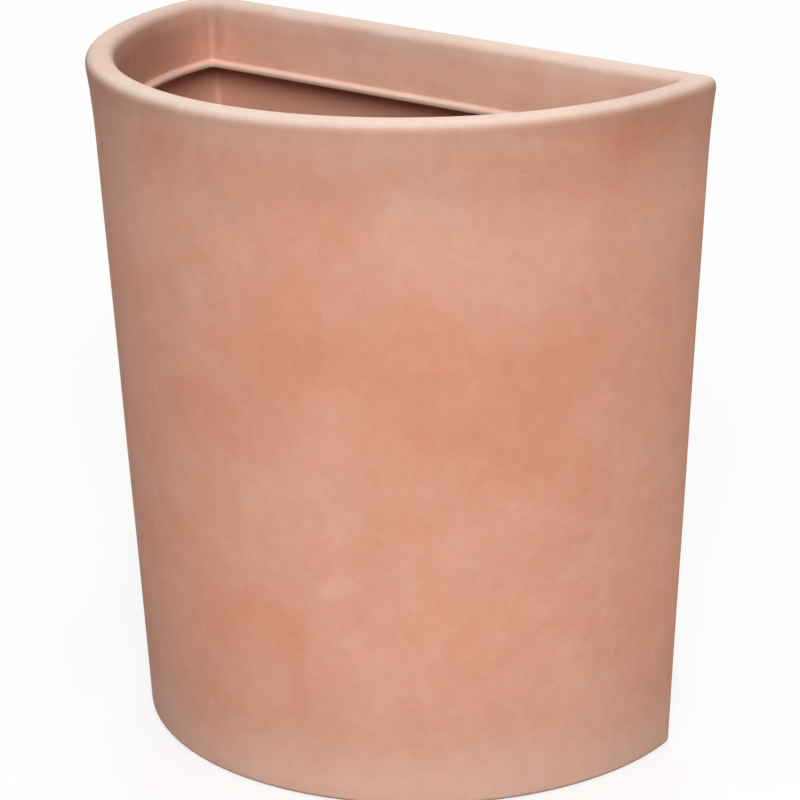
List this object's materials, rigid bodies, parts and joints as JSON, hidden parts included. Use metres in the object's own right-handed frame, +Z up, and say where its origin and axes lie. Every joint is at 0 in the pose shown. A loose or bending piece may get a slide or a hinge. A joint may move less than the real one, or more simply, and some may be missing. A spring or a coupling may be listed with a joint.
{
  "type": "wall planter",
  "caption": "Half-round tapered planter with a flat back, a doubled-over rim and pull-out drain plugs, for standing against a wall.",
  "frame": {"origin": "on the ground, under the middle of the overall width and depth", "axes": "+Z up, +Y towards the wall that the flat back faces, +X to the right for someone who faces the round front"},
  "size_m": [0.4998, 0.2899, 0.53],
  "materials": {
    "terracotta_polyethylene": "rotationally moulded, matt terracotta with a chalky bloom",
    "plug_rubber": "moulded, matt"
  },
  "bodies": {
    "planter": {"planter_shell": "terracotta_polyethylene"},
    "left_plug": {"drain_plug_left": "plug_rubber"},
    "right_plug": {"drain_plug_right": "plug_rubber"}
  },
  "joints": [
    {"name": "left_plug_pull", "type": "slide", "parent": "planter", "child": "left_plug", "axis": [0, 0, 1], "range_m": [0, 0.06]},
    {"name": "right_plug_pull", "type": "slide", "parent": "planter", "child": "right_plug", "axis": [0, 0, 1], "range_m": [0, 0.06]}
  ]
}
